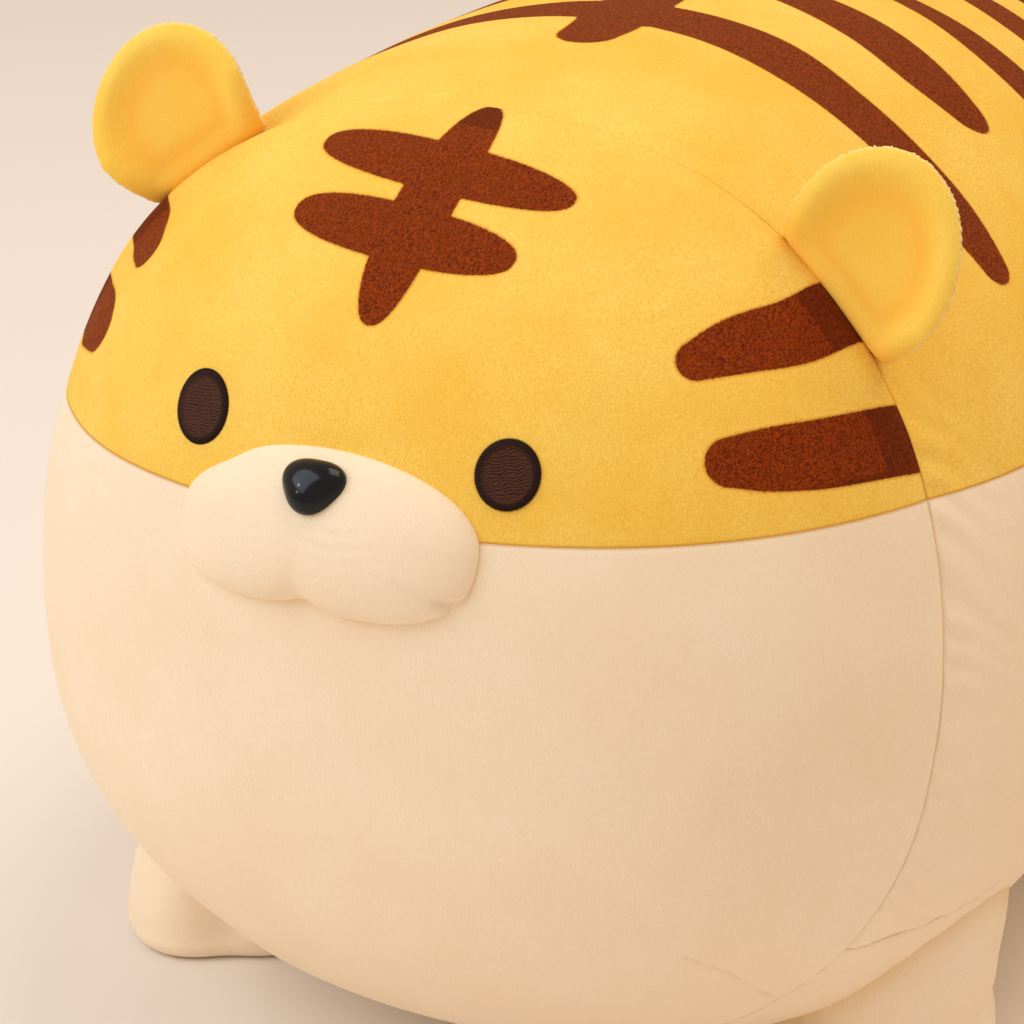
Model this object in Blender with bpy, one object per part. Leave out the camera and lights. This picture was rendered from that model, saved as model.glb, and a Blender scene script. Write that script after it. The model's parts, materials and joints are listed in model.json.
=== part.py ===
"""Plush tiger, a fat loaf-shaped soft toy that lies on its belly on four short stubs.

Metres, +Z up. The face looks towards -Y and the tiger's left is +X. The origin is on the floor,
straight under the body's widest section. Every piece of cloth and every stuffed pad is its own object.
"""

import math

import bmesh
import bpy
from mathutils import Matrix, Vector
from mathutils.bvhtree import BVHTree

# Clearances: what touching pieces keep between them, and how far a cutter runs past what it cuts.
GAP = 0.0003
OVERRUN = 0.02

# Body: half sizes from the widest level, and the powers of its rounded-square sections.
BODY_HALF_WIDTH = 0.190
BODY_RISE = 0.193
BODY_DROP = 0.1475
BODY_FRONT = 0.1895
BODY_BACK = 0.352
GIRTH_POWER = 2.2
FRONT_POWER = 2.34
REAR_POWER = 2.75
FLAT_DEPTH = 0.0005
FABRIC = 0.0022

# Seams: where each crosses the widest level, its tilt, backwards at the top for a positive angle, and
# the levels where yellow cloth meets cream cloth and where the sides meet the belly, above the legs.
FACE_SEAM_AT = -0.107
FACE_SEAM_TILT = math.radians(11.15)
RUMP_SEAM_AT = 0.232
RUMP_SEAM_TILT = math.radians(-6.8)
COLOUR_LINE = 0.085
BELLY_LINE = -0.061

# Muzzle: a small pillow sewn to the face, wide and low, with two lobes and a notch below.
MUZZLE_LEVEL = 0.0812
MUZZLE_ACROSS = -0.0011
MUZZLE_HALF_WIDTH = 0.0523
MUZZLE_HALF_HEIGHT = 0.0238
MUZZLE_PROUD = 0.012
MUZZLE_UPPER_POWER = 2.0
MUZZLE_LOWER_POWER = 4.0
MUZZLE_NOTCH_SHARE = 0.18
MUZZLE_NOTCH_ANGLE = math.radians(15)
MUZZLE_NOTCH_LEAN = math.radians(6)
MUZZLE_LOW_FULLNESS_SHARE = 0.18

# Nose: a moulded rounded triangle with a shank through the muzzle cloth and a washer behind it.
NOSE_ABOVE_MUZZLE = 0.0143
NOSE_HALF_WIDTH = 0.0100
NOSE_TIP_DROP = 0.0094
NOSE_PROUD = 0.0056
NOSE_BACK = 0.0030
NOSE_CORNER_SHARE = 0.13
SHANK_RADIUS = 0.0022
SHANK_LENGTH = 0.0062
WASHER_RADIUS = 0.0070
WASHER_THICKNESS = 0.0022

# Eyes: an embroidered oval with a raised satin border round a flat stitched patch. How far each one is
# from the middle and above the widest level; the two are not quite alike.
EYE_LEFT_ACROSS = 0.0555
EYE_LEFT_LEVEL = 0.1036
EYE_RIGHT_ACROSS = 0.0527
EYE_RIGHT_LEVEL = 0.1081
EYE_HALF_WIDTH = 0.0103
EYE_HALF_HEIGHT = 0.0109
EYE_BORDER_WIDTH = 0.0034
EYE_BORDER_PROUD = 0.0015
EYE_PATCH_PROUD = 0.0009

# Ears: cupped rounds with a straight base, sewn into the face seam. Each one's place is the angle
# from the crown, round the body; the two were sewn in by hand and are not quite alike.
EAR_LEFT_ANGLE = math.radians(41)
EAR_RIGHT_ANGLE = math.radians(33.8)
EAR_HALF_WIDTH = 0.0298
EAR_RISE = 0.0308
EAR_DROP = 0.0330
EAR_CENTRE_UP = 0.0170
EAR_POWER = 2.1
EAR_BASE_POWER = 12.0
EAR_LEAN = math.radians(26)
EAR_BEND = 0.012
EAR_ROLL = 0.0040
EAR_CUP = 0.0050
EAR_PADDING = 0.0040
EAR_PADDING_MARGIN = 0.0035
EAR_PADDING_SLACK = 0.0003

# Legs: stuffed stubs, rounded below, sewn under the body, each set in from its widest point. They lean
# towards the body's middle from the sole up.
LEG_RADIUS = 0.040
LEG_HALF_HEIGHT = 0.060
LEG_LEAN = math.radians(14)
LEG_POWER = 8.0
LEG_SET_IN = 0.061
FRONT_LEG_AT = -0.066
REAR_LEG_AT = 0.172

# Tail: a short stuffed stub sewn to the rump under its colour seam, with a round root to turn on.
TAIL_BELOW_COLOUR_LINE = 0.026
TAIL_RADIUS = 0.0165
TAIL_LENGTH = 0.078
TAIL_POWER = 3.4
TAIL_LIFT = math.radians(16)
TAIL_MOUTH_RADIUS = 0.0065

# Facets round and along each form.
BODY_FACETS = (36, 20)
MUZZLE_FACETS = (26, 10)
LEG_FACETS = (16, 8)
EAR_FACETS = (18, 8)
TAIL_FACETS = (12, 8)
SMALL_FACETS = (16, 8)
EYE_BORDER_FACETS = (22, 6)

YELLOW = (0.94, 0.56, 0.10)
CREAM = (0.89, 0.73, 0.50)
EMBROIDERY = (0.045, 0.018, 0.013)
NOSE_BLACK = (0.010, 0.012, 0.014)
WASHER_WHITE = (0.80, 0.80, 0.78)
FILLING_WHITE = (0.85, 0.85, 0.83)

WIDEST_LEVEL = BODY_DROP - FLAT_DEPTH
BODY_CENTRE = Vector((0, 0, WIDEST_LEVEL))
FACE_SEAM_NORMAL = Vector((0, math.cos(FACE_SEAM_TILT), -math.sin(FACE_SEAM_TILT)))
RUMP_SEAM_NORMAL = Vector((0, math.cos(RUMP_SEAM_TILT), -math.sin(RUMP_SEAM_TILT)))
WHOLE_LENGTH = BODY_FRONT + BODY_BACK
LEG_ACROSS = BODY_HALF_WIDTH - LEG_SET_IN

for old in list(bpy.data.objects):
    bpy.data.objects.remove(old, do_unlink=True)

parts = bpy.data.collections.new("plush_tiger")
cutters = bpy.data.collections.new("cutters")
bpy.context.scene.collection.children.link(parts)
bpy.context.scene.collection.children.link(cutters)


def body_reaches(offset):
    """The body's rise or drop, its reach and its lengthwise power on the offset's side of the middle."""
    rise = BODY_RISE if offset.z > 0 else BODY_DROP
    reach, power = (BODY_BACK, REAR_POWER) if offset.y > 0 else (BODY_FRONT, FRONT_POWER)
    return rise, reach, power


def body_girth(offset, inset=0.0):
    """Is 1 where the offset reaches the outline of the body's widest section."""
    across = abs(offset.x) / (BODY_HALF_WIDTH - inset)
    upright = abs(offset.z) / (body_reaches(offset)[0] - inset)
    return (across ** GIRTH_POWER + upright ** GIRTH_POWER) ** (1 / GIRTH_POWER)


def body_measure(offset):
    """Is 1 where the offset from the body's centre reaches the body's surface."""
    _, reach, power = body_reaches(offset)
    return (body_girth(offset) ** power + (abs(offset.y) / reach) ** power) ** (1 / power)


def body_point(unit, inset):
    """Moves a point of the unit sphere, its poles at nose and rump, onto the body drawn in by inset."""
    _, reach, power = body_reaches(unit)
    spread = math.hypot(unit.x, unit.z)
    if spread == 0:
        return BODY_CENTRE + Vector((0, math.copysign(reach - inset, unit.y), 0))
    ring = Vector((unit.x, 0, unit.z)) * (spread ** (2 / power) / body_girth(unit, inset))
    along = math.copysign((reach - inset) * abs(unit.y) ** (2 / power), unit.y)
    return BODY_CENTRE + ring + Vector((0, along, 0))


def body_normal(point):
    """The outward direction of the body's surface at a point on it."""
    offset = point - BODY_CENTRE
    rise, reach, power = body_reaches(offset)
    steep = body_girth(offset) ** (power - GIRTH_POWER)
    across = steep * (abs(offset.x) / BODY_HALF_WIDTH) ** (GIRTH_POWER - 1) / BODY_HALF_WIDTH
    upright = steep * (abs(offset.z) / rise) ** (GIRTH_POWER - 1) / rise
    along = (abs(offset.y) / reach) ** (power - 1) / reach
    return Vector((
        math.copysign(across, offset.x),
        math.copysign(along, offset.y),
        math.copysign(upright, offset.z),
    )).normalized()


def reach_to_body(start, direction):
    """How far a line that starts inside the body runs before it comes out."""
    near, far = 0.0, WHOLE_LENGTH
    for _ in range(40):
        middle = (near + far) / 2
        if body_measure(start + direction * middle - BODY_CENTRE) < 1:
            near = middle
        else:
            far = middle
    return near


def face_point(across, height):
    """The point of the face that lies this far across and above the floor."""
    start = Vector((across, 0, height))
    return start + Vector((0, -1, 0)) * reach_to_body(start, Vector((0, -1, 0)))


def rounded_min(first, second, power):
    """The smaller of two lengths, with the corner between them rounded."""
    return (first ** -power + second ** -power) ** (-1 / power)


def turned_point(unit, radius, ahead, behind, power_behind, power_ahead):
    """Moves a point of the unit sphere onto a form turned about Z, fuller for a higher power."""
    reach, power = (ahead, power_ahead) if unit.z > 0 else (behind, power_behind)
    spread = math.hypot(unit.x, unit.y)
    wide = radius * spread ** (2 / power - 1) if spread > 0 else 0
    return Vector((unit.x * wide, unit.y * wide, math.copysign(reach * abs(unit.z) ** (2 / power), unit.z)))


def finished(name, mesh, collection):
    """Wraps a mesh in an object of the given collection."""
    piece = bpy.data.objects.new(name, mesh)
    collection.objects.link(piece)
    return piece


def formed(name, facets, shape, collection=parts):
    """A closed form: a sphere whose every point is moved to where shape puts it."""
    around, along = facets
    bm = bmesh.new()
    bmesh.ops.create_uvsphere(bm, u_segments=around, v_segments=along, radius=1)
    for vertex in bm.verts:
        vertex.co = shape(vertex.co.copy())
    # Nested forms are split into triangles alike, so that the gap between them stays open.
    bmesh.ops.triangulate(bm, faces=bm.faces, quad_method="FIXED")
    bm.normal_update()
    bmesh.ops.recalc_face_normals(bm, faces=bm.faces)
    mesh = bpy.data.meshes.new(name)
    bm.to_mesh(mesh)
    bm.free()
    return finished(name, mesh, collection)


def rod(name, radius, low, high, place, collection=cutters):
    """A round bar along the place's own Z, from low to high."""
    bm = bmesh.new()
    bmesh.ops.create_cone(bm, cap_ends=True, segments=SMALL_FACETS[0], radius1=radius, radius2=radius,
                          depth=high - low, matrix=Matrix.Translation((0, 0, (low + high) / 2)))
    bmesh.ops.transform(bm, matrix=place, verts=bm.verts)
    mesh = bpy.data.meshes.new(name)
    bm.to_mesh(mesh)
    bm.free()
    return finished(name, mesh, collection)


def block_beyond(name, point, outward):
    """A cutter that takes away all that lies beyond a plane."""
    size = 2 * WHOLE_LENGTH
    bm = bmesh.new()
    bmesh.ops.create_cube(bm, size=size)
    turn = Vector((0, 0, 1)).rotation_difference(outward).to_matrix().to_4x4()
    place = Matrix.Translation(point) @ turn @ Matrix.Translation((0, 0, size / 2))
    bmesh.ops.transform(bm, matrix=place, verts=bm.verts)
    mesh = bpy.data.meshes.new(name)
    bm.to_mesh(mesh)
    bm.free()
    return finished(name, mesh, cutters)


def combine(piece, other, how):
    """Cuts, joins or trims a piece with another by a Boolean modifier."""
    step = piece.modifiers.new(how.lower() + "_" + other.name, "BOOLEAN")
    step.operation = how
    step.solver = "EXACT"
    step.object = other


def cut(piece, *tools):
    for tool in tools:
        combine(piece, tool, "DIFFERENCE")


def dress(piece, colour, roughness, smooth_angle=math.radians(50)):
    """Gives a piece its own material and smooth shading."""
    material = bpy.data.materials.new(piece.name)
    material.use_nodes = True
    shader = material.node_tree.nodes["Principled BSDF"]
    shader.inputs["Base Color"].default_value = (*colour, 1)
    shader.inputs["Roughness"].default_value = roughness
    shader.inputs["Metallic"].default_value = 0
    if not piece.data.materials:
        piece.data.materials.append(material)
    piece.material_slots[0].link = "OBJECT"
    piece.material_slots[0].material = material
    piece.data.shade_smooth()
    piece.data.set_sharp_from_angle(angle=smooth_angle)
    return piece


def body_form(name, inset, collection=cutters):
    """The whole body as a solid, drawn in by inset, with the sphere's poles at nose and rump."""
    def shape(unit):
        return body_point(Vector((unit.x, -unit.z, unit.y)), inset)
    return formed(name, BODY_FACETS, shape, collection)


# The body's skin: one shell, cut along the seams into its panels.
body_hollow = body_form("body_hollow", FABRIC)
body_grown = body_form("body_grown", -GAP)
clear_skin = BVHTree.FromPolygons([vertex.co for vertex in body_grown.data.vertices],
                                  [face.vertices for face in body_grown.data.polygons])
half_seam = GAP / 2
face_seam = BODY_CENTRE + Vector((0, FACE_SEAM_AT, 0))
rump_seam = BODY_CENTRE + Vector((0, RUMP_SEAM_AT, 0))
colour_seam = BODY_CENTRE + Vector((0, 0, COLOUR_LINE))
belly_seam = BODY_CENTRE + Vector((0, 0, BELLY_LINE))
UP, DOWN = Vector((0, 0, 1)), Vector((0, 0, -1))

below_floor = block_beyond("below_floor", Vector((0, 0, 0)), DOWN)
behind_face = block_beyond("behind_face", face_seam - FACE_SEAM_NORMAL * half_seam, FACE_SEAM_NORMAL)
before_back = block_beyond("before_back", face_seam + FACE_SEAM_NORMAL * half_seam, -FACE_SEAM_NORMAL)
behind_back = block_beyond("behind_back", rump_seam - RUMP_SEAM_NORMAL * half_seam, RUMP_SEAM_NORMAL)
before_rump = block_beyond("before_rump", rump_seam + RUMP_SEAM_NORMAL * half_seam, -RUMP_SEAM_NORMAL)
above_line = block_beyond("above_line", colour_seam + DOWN * half_seam, UP)
below_line = block_beyond("below_line", colour_seam + UP * half_seam, DOWN)
above_belly = block_beyond("above_belly", belly_seam + DOWN * half_seam, UP)
below_sides = block_beyond("below_sides", belly_seam + UP * half_seam, DOWN)
left_of_middle = block_beyond("left_of_middle", BODY_CENTRE, Vector((1, 0, 0)))
right_of_middle = block_beyond("right_of_middle", BODY_CENTRE, Vector((-1, 0, 0)))

PANELS = {
    "face_upper_panel": (YELLOW, (behind_face, below_line)),
    "face_lower_panel": (CREAM, (behind_face, above_line)),
    "back_panel": (YELLOW, (before_back, behind_back, below_line)),
    "side_panel_left": (CREAM, (before_back, behind_back, above_line, below_sides, right_of_middle)),
    "side_panel_right": (CREAM, (before_back, behind_back, above_line, below_sides, left_of_middle)),
    "belly_panel": (CREAM, (before_back, behind_back, above_belly, below_floor)),
    "rump_upper_panel": (YELLOW, (before_rump, below_line)),
    "rump_lower_panel": (CREAM, (before_rump, above_line)),
}
for panel_name, (colour, tools) in PANELS.items():
    panel = body_form(panel_name, 0, parts)
    cut(panel, body_hollow, *tools)
    dress(panel, colour, 0.9)

dress(body_form("body_stuffing", FABRIC + GAP, parts), FILLING_WHITE, 1.0)


# The muzzle, worked as a height over the face.
MUZZLE_HEIGHT = WIDEST_LEVEL + MUZZLE_LEVEL


def muzzle_edge(angle, inset):
    """How far the muzzle's outline is from its middle, at an angle from the tiger's left."""
    power = MUZZLE_UPPER_POWER if math.sin(angle) > 0 else MUZZLE_LOWER_POWER
    wide = abs(math.cos(angle)) / (MUZZLE_HALF_WIDTH - inset)
    high = abs(math.sin(angle)) / (MUZZLE_HALF_HEIGHT - inset)
    off_notch = math.remainder(angle + math.pi / 2 + MUZZLE_NOTCH_LEAN, 2 * math.pi)
    from_notch = off_notch / MUZZLE_NOTCH_ANGLE
    notch = 1 - MUZZLE_NOTCH_SHARE * math.exp(-from_notch ** 2)
    return (wide ** power + high ** power) ** (-1 / power) * notch


def muzzle_skin(across, above, inset, inward=False):
    """A point of the muzzle over the face, and with inward its mirror point under the face."""
    angle = math.atan2(above, across)
    out = min(1.0, math.hypot(across, above) / muzzle_edge(angle, inset))
    fullness = 1 - MUZZLE_LOW_FULLNESS_SHARE * above / MUZZLE_HALF_HEIGHT
    height = (MUZZLE_PROUD - inset) * fullness * math.sqrt(1 - out ** 2)
    base = face_point(MUZZLE_ACROSS + across, MUZZLE_HEIGHT + above)
    return base + body_normal(base) * (-height if inward else height)


def muzzle_form(name, inset, collection=cutters):
    def shape(unit):
        angle = math.atan2(unit.y, unit.x)
        out = math.hypot(unit.x, unit.y) * muzzle_edge(angle, inset)
        return muzzle_skin(out * math.cos(angle), out * math.sin(angle), inset, unit.z < 0)
    return formed(name, MUZZLE_FACETS, shape, collection)


# The nose sits on the muzzle and points straight out of it.
def nose_seat():
    step = NOSE_HALF_WIDTH / 2
    here = muzzle_skin(0, NOSE_ABOVE_MUZZLE, 0)
    across = muzzle_skin(step, NOSE_ABOVE_MUZZLE, 0) - muzzle_skin(-step, NOSE_ABOVE_MUZZLE, 0)
    upward = muzzle_skin(0, NOSE_ABOVE_MUZZLE + step, 0) - muzzle_skin(0, NOSE_ABOVE_MUZZLE - step, 0)
    out = across.cross(upward).normalized()
    across.normalize()
    columns = Matrix((across, out.cross(across), out)).transposed()
    return Matrix.Translation(here) @ columns.to_4x4()


NOSE_PLACE = nose_seat()


def nose_shape(unit):
    """A rounded triangle with its tip down, domed in front and shallower behind."""
    angle = math.atan2(unit.y, unit.x)
    corner = (1 + NOSE_CORNER_SHARE * math.cos(3 * (angle + math.pi / 2))) / (1 + NOSE_CORNER_SHARE)
    spread = math.hypot(unit.x, unit.y) * corner
    local = Vector((
        spread * math.cos(angle) * NOSE_HALF_WIDTH / math.cos(math.pi / 6),
        spread * math.sin(angle) * NOSE_TIP_DROP,
        unit.z * (NOSE_PROUD if unit.z > 0 else NOSE_BACK),
    ))
    return NOSE_PLACE @ local


WASHER_FRONT = -(FABRIC + GAP)
WASHER_BACK = WASHER_FRONT - WASHER_THICKNESS

muzzle_hollow = muzzle_form("muzzle_hollow", FABRIC)
muzzle_grown = muzzle_form("muzzle_grown", -GAP)
muzzle_core = muzzle_form("muzzle_core", FABRIC + GAP)
shank_hole = rod("shank_hole", SHANK_RADIUS + GAP, -(SHANK_LENGTH + GAP), OVERRUN, NOSE_PLACE)
washer_pocket = rod("washer_pocket", WASHER_RADIUS + GAP, WASHER_BACK - GAP, OVERRUN, NOSE_PLACE)
shank = rod("shank", SHANK_RADIUS, -SHANK_LENGTH, NOSE_PROUD / 2, NOSE_PLACE)

muzzle_cover = muzzle_form("muzzle_cover", 0, parts)
cut(muzzle_cover, muzzle_hollow, body_grown, shank_hole)
dress(muzzle_cover, CREAM, 0.9)

muzzle_stuffing = muzzle_form("muzzle_stuffing", FABRIC + GAP, parts)
cut(muzzle_stuffing, body_grown, washer_pocket, shank_hole)
dress(muzzle_stuffing, FILLING_WHITE, 1.0)

nose = formed("nose", SMALL_FACETS, nose_shape)
cut(nose, muzzle_grown)
combine(nose, shank, "UNION")
dress(nose, NOSE_BLACK, 0.15)

nose_washer = rod("nose_washer", WASHER_RADIUS, WASHER_BACK, 0, NOSE_PLACE, parts)
combine(nose_washer, muzzle_core, "INTERSECT")
cut(nose_washer, shank_hole)
dress(nose_washer, WASHER_WHITE, 0.4)


# The eyes lie on the face: an oval patch inside a raised border.
EYE_PLACES = {
    "left": (EYE_LEFT_ACROSS, WIDEST_LEVEL + EYE_LEFT_LEVEL),
    "right": (-EYE_RIGHT_ACROSS, WIDEST_LEVEL + EYE_RIGHT_LEVEL),
}


def on_face(word, across, above, proud):
    """A point that stands proud of the face, placed along the cloth from one eye's middle."""
    middle_across, middle_height = EYE_PLACES[word]
    lean = body_normal(face_point(middle_across, middle_height))
    base = face_point(middle_across + across * math.hypot(lean.y, lean.z),
                      middle_height + above * math.hypot(lean.x, lean.y))
    return base + body_normal(base) * proud


def eye_patch(name, word):
    inner_width = EYE_HALF_WIDTH - EYE_BORDER_WIDTH - GAP
    inner_height = EYE_HALF_HEIGHT - EYE_BORDER_WIDTH - GAP

    def shape(unit):
        proud = GAP + EYE_PATCH_PROUD * (1 + math.copysign(abs(unit.z) ** 0.5, unit.z)) / 2
        return on_face(word, unit.x * inner_width, unit.y * inner_height, proud)
    return formed(name, SMALL_FACETS, shape)


def eye_border(name, word):
    around, across = EYE_BORDER_FACETS
    bpy.ops.mesh.primitive_torus_add(major_segments=around, minor_segments=across, major_radius=2,
                                     minor_radius=1)
    piece = bpy.context.active_object
    piece.name = name
    piece.data.name = name
    for owner in list(piece.users_collection):
        owner.objects.unlink(piece)
    parts.objects.link(piece)
    for vertex in piece.data.vertices:
        angle = math.atan2(vertex.co.y, vertex.co.x)
        outward = math.hypot(vertex.co.x, vertex.co.y) - 2
        width = EYE_HALF_WIDTH + (outward - 1) * EYE_BORDER_WIDTH / 2
        height = EYE_HALF_HEIGHT + (outward - 1) * EYE_BORDER_WIDTH / 2
        proud = GAP + EYE_BORDER_PROUD * (1 + vertex.co.z) / 2
        vertex.co = on_face(word, width * math.cos(angle), height * math.sin(angle), proud)
    bm = bmesh.new()
    bm.from_mesh(piece.data)
    bm.normal_update()
    bmesh.ops.recalc_face_normals(bm, faces=bm.faces)
    bm.to_mesh(piece.data)
    bm.free()
    return piece


for word in EYE_PLACES:
    dress(eye_patch(f"eye_{word}_patch", word), EMBROIDERY, 0.7)
    dress(eye_border(f"eye_{word}_border", word), EMBROIDERY, 0.6)


def clear_of_body(start, direction):
    """How far a line that starts inside the body runs before it clears the faceted skin by the gap."""
    return clear_skin.ray_cast(start, direction)[3]


# The ears: each turns about its sewn base, which runs along the face seam.
class EarPlace:
    """Where one ear is sewn: its base's middle, the way along the base, out, and back."""

    def __init__(self, angle, side):
        back_up_seam = math.tan(FACE_SEAM_TILT)
        way = Vector((side * math.sin(angle), back_up_seam * math.cos(angle), math.cos(angle)))
        way.normalize()
        seat = face_seam + way * clear_of_body(face_seam, way)
        self.out = body_normal(seat)
        self.along = self.out.cross(FACE_SEAM_NORMAL).normalized()
        self.back = self.along.cross(self.out)
        self.axis_point = seat + self.out * EAR_ROLL

    def room_below(self, along):
        """How far the ear can reach down from its turning axis."""
        inside = BODY_HALF_WIDTH / 2
        start = self.axis_point + self.along * along - self.out * inside
        return inside - clear_of_body(start, self.out)

    def point(self, along, above, behind):
        """Bends the flat ear so that it leaves the body square and then leans back."""
        radius = EAR_BEND / EAR_LEAN
        turned = min(max(above, 0), EAR_BEND) / radius
        straight = max(above - EAR_BEND, 0)
        height = min(above, 0) + radius * math.sin(turned) + straight * math.cos(turned)
        set_back = radius * (1 - math.cos(turned)) + straight * math.sin(turned)
        sheet_back = self.back * math.cos(turned) - self.out * math.sin(turned)
        return (self.axis_point + self.along * along + self.out * height + self.back * set_back
                + sheet_back * behind)


def ear_edge(angle):
    """The ear's outline about its middle: a full round with a straight base."""
    wide = abs(math.cos(angle)) / EAR_HALF_WIDTH
    high = abs(math.sin(angle)) / (EAR_RISE if math.sin(angle) > 0 else EAR_DROP)
    round_edge = (wide ** EAR_POWER + high ** EAR_POWER) ** (-1 / EAR_POWER)
    if math.sin(angle) >= 0:
        return round_edge
    return rounded_min(round_edge, EAR_CENTRE_UP / -math.sin(angle), EAR_BASE_POWER)


def ear_layer(name, place, layer):
    """One layer of an ear: -1 the front cloth, 1 the back cloth, 0 the padding between them."""
    widest = 1 - EAR_PADDING_MARGIN / EAR_HALF_WIDTH if layer == 0 else 1
    base_half_depth = GAP / 2 + FABRIC

    def shape(unit):
        angle = math.atan2(unit.y, unit.x)
        out = math.hypot(unit.x, unit.y) * widest
        along = out * ear_edge(angle) * math.cos(angle)
        above = EAR_CENTRE_UP + out * ear_edge(angle) * math.sin(angle)
        near_base = max(0, 1 - above / EAR_CENTRE_UP)
        roll = max(place.room_below(along), EAR_ROLL)
        above -= near_base ** 2 * math.sqrt(roll ** 2 - base_half_depth ** 2)
        cup = -EAR_CUP * (along / EAR_HALF_WIDTH) ** 2 * (1 - near_base)
        swell = EAR_PADDING / 2 * (1 - out ** 2)
        face = math.copysign(math.sqrt(1 - min(1, out) ** 8), unit.z)
        if layer == 0:
            half_depth = max(0, swell - GAP / 2 - EAR_PADDING_SLACK)
            return place.point(along, above, cup + half_depth * face * (abs(unit.z) > 1e-6))
        middle = layer * (GAP / 2 + FABRIC / 2 + swell)
        return place.point(along, above, cup + middle + face * FABRIC / 2)
    return formed(name, EAR_FACETS, shape)


for word, side, angle in (("left", 1, EAR_LEFT_ANGLE), ("right", -1, EAR_RIGHT_ANGLE)):
    place = EarPlace(angle, side)
    dress(ear_layer(f"ear_{word}_front", place, -1), YELLOW, 0.9)
    dress(ear_layer(f"ear_{word}_back", place, 1), YELLOW, 0.9)
    dress(ear_layer(f"ear_{word}_padding", place, 0), FILLING_WHITE, 1.0)
    print("ear", word, "axis point", [round(v, 5) for v in place.axis_point],
          "axis", [round(v, 5) for v in place.along])


# The legs: turned stubs that run up into the body, open at the top where they are sewn on.
def leg_form(name, place, lean, inset, collection=cutters):
    def shape(unit):
        reach = LEG_HALF_HEIGHT - inset
        stub = turned_point(unit, LEG_RADIUS - inset, reach, reach, LEG_POWER, LEG_POWER)
        return place + stub + Vector((0, (place.z + stub.z) * math.tan(lean), 0))
    return formed(name, LEG_FACETS, shape, collection)


for end, along, lean in (("front", FRONT_LEG_AT, LEG_LEAN), ("rear", REAR_LEG_AT, -LEG_LEAN)):
    for word, side in (("left", 1), ("right", -1)):
        name = f"leg_{end}_{word}"
        place = Vector((side * LEG_ACROSS, along, LEG_HALF_HEIGHT - FLAT_DEPTH))
        hollow = leg_form(name + "_hollow", place, lean, FABRIC)
        cover = leg_form(name + "_cover", place, lean, 0, parts)
        cut(cover, hollow, body_grown, below_floor)
        dress(cover, CREAM, 0.9)
        stuffing = leg_form(name + "_stuffing", place, lean, FABRIC + GAP, parts)
        cut(stuffing, body_grown)
        dress(stuffing, FILLING_WHITE, 1.0)


# The tail: a stub with a ball root that clears the body by the gap.
def tail_place():
    start = Vector((0, 0, WIDEST_LEVEL + COLOUR_LINE - TAIL_BELOW_COLOUR_LINE))
    seat = start + Vector((0, 1, 0)) * clear_of_body(start, Vector((0, 1, 0)))
    out = body_normal(seat)
    axis_point = seat + out * TAIL_RADIUS
    direction = Matrix.Rotation(TAIL_LIFT, 3, "X") @ out
    return axis_point, direction


TAIL_AXIS_POINT, TAIL_DIRECTION = tail_place()
print("tail axis point", [round(v, 5) for v in TAIL_AXIS_POINT])
TAIL_PLACE = (Matrix.Translation(TAIL_AXIS_POINT)
              @ Vector((0, 0, 1)).rotation_difference(TAIL_DIRECTION).to_matrix().to_4x4())


def tail_form(name, inset, collection=cutters):
    radius = TAIL_RADIUS - inset

    def shape(unit):
        return TAIL_PLACE @ turned_point(unit, radius, TAIL_LENGTH - inset, radius, 2, TAIL_POWER)
    return formed(name, TAIL_FACETS, shape, collection)


tail_hollow = tail_form("tail_hollow", FABRIC)
tail_mouth = rod("tail_mouth", TAIL_MOUTH_RADIUS, -(TAIL_RADIUS + OVERRUN), 0, TAIL_PLACE)
tail_cover = tail_form("tail_cover", 0, parts)
cut(tail_cover, tail_hollow, tail_mouth)
dress(tail_cover, YELLOW, 0.9)
dress(tail_form("tail_stuffing", FABRIC + GAP, parts), FILLING_WHITE, 1.0)

for tool in cutters.objects:
    tool.hide_render = True
    tool.display_type = "WIRE"
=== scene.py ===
import json
import math

import bmesh
import bpy
import numpy as np
from mathutils import Matrix, Vector


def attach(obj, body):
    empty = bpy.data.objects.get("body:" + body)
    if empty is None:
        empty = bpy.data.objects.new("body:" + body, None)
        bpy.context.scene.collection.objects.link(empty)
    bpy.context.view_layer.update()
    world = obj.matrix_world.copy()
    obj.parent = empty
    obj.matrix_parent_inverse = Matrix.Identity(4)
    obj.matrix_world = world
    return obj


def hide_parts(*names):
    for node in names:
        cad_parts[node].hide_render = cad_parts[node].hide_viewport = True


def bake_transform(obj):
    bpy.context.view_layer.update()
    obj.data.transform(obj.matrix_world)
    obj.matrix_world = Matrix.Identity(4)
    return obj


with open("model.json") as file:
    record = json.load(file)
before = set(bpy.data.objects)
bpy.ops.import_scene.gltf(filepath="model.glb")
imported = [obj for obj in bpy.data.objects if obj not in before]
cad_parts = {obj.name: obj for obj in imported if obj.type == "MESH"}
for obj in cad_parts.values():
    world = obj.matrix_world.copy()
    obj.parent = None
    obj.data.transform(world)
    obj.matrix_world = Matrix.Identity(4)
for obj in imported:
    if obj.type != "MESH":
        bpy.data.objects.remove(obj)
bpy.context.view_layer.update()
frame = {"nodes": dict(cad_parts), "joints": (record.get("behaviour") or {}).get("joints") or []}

# The filling: loose polyester fibre, blown into the sewn skin until it is tight. It gives the toy its
# fat loaf shape, fuller behind than in front, and lies flat where it rests. No eye sees it.
HALF_WIDTH = 0.190
RISE = 0.193
DROP = 0.1475
FRONT = 0.1895
BACK = 0.352
GIRTH_POWER = 2.2
FRONT_POWER = 2.34
REAR_POWER = 2.75
CENTRE = np.array((0, 0, 0.147))
CLOTH_DEPTH = 0.0045
FILLING_FLOOR = 0.003


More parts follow.
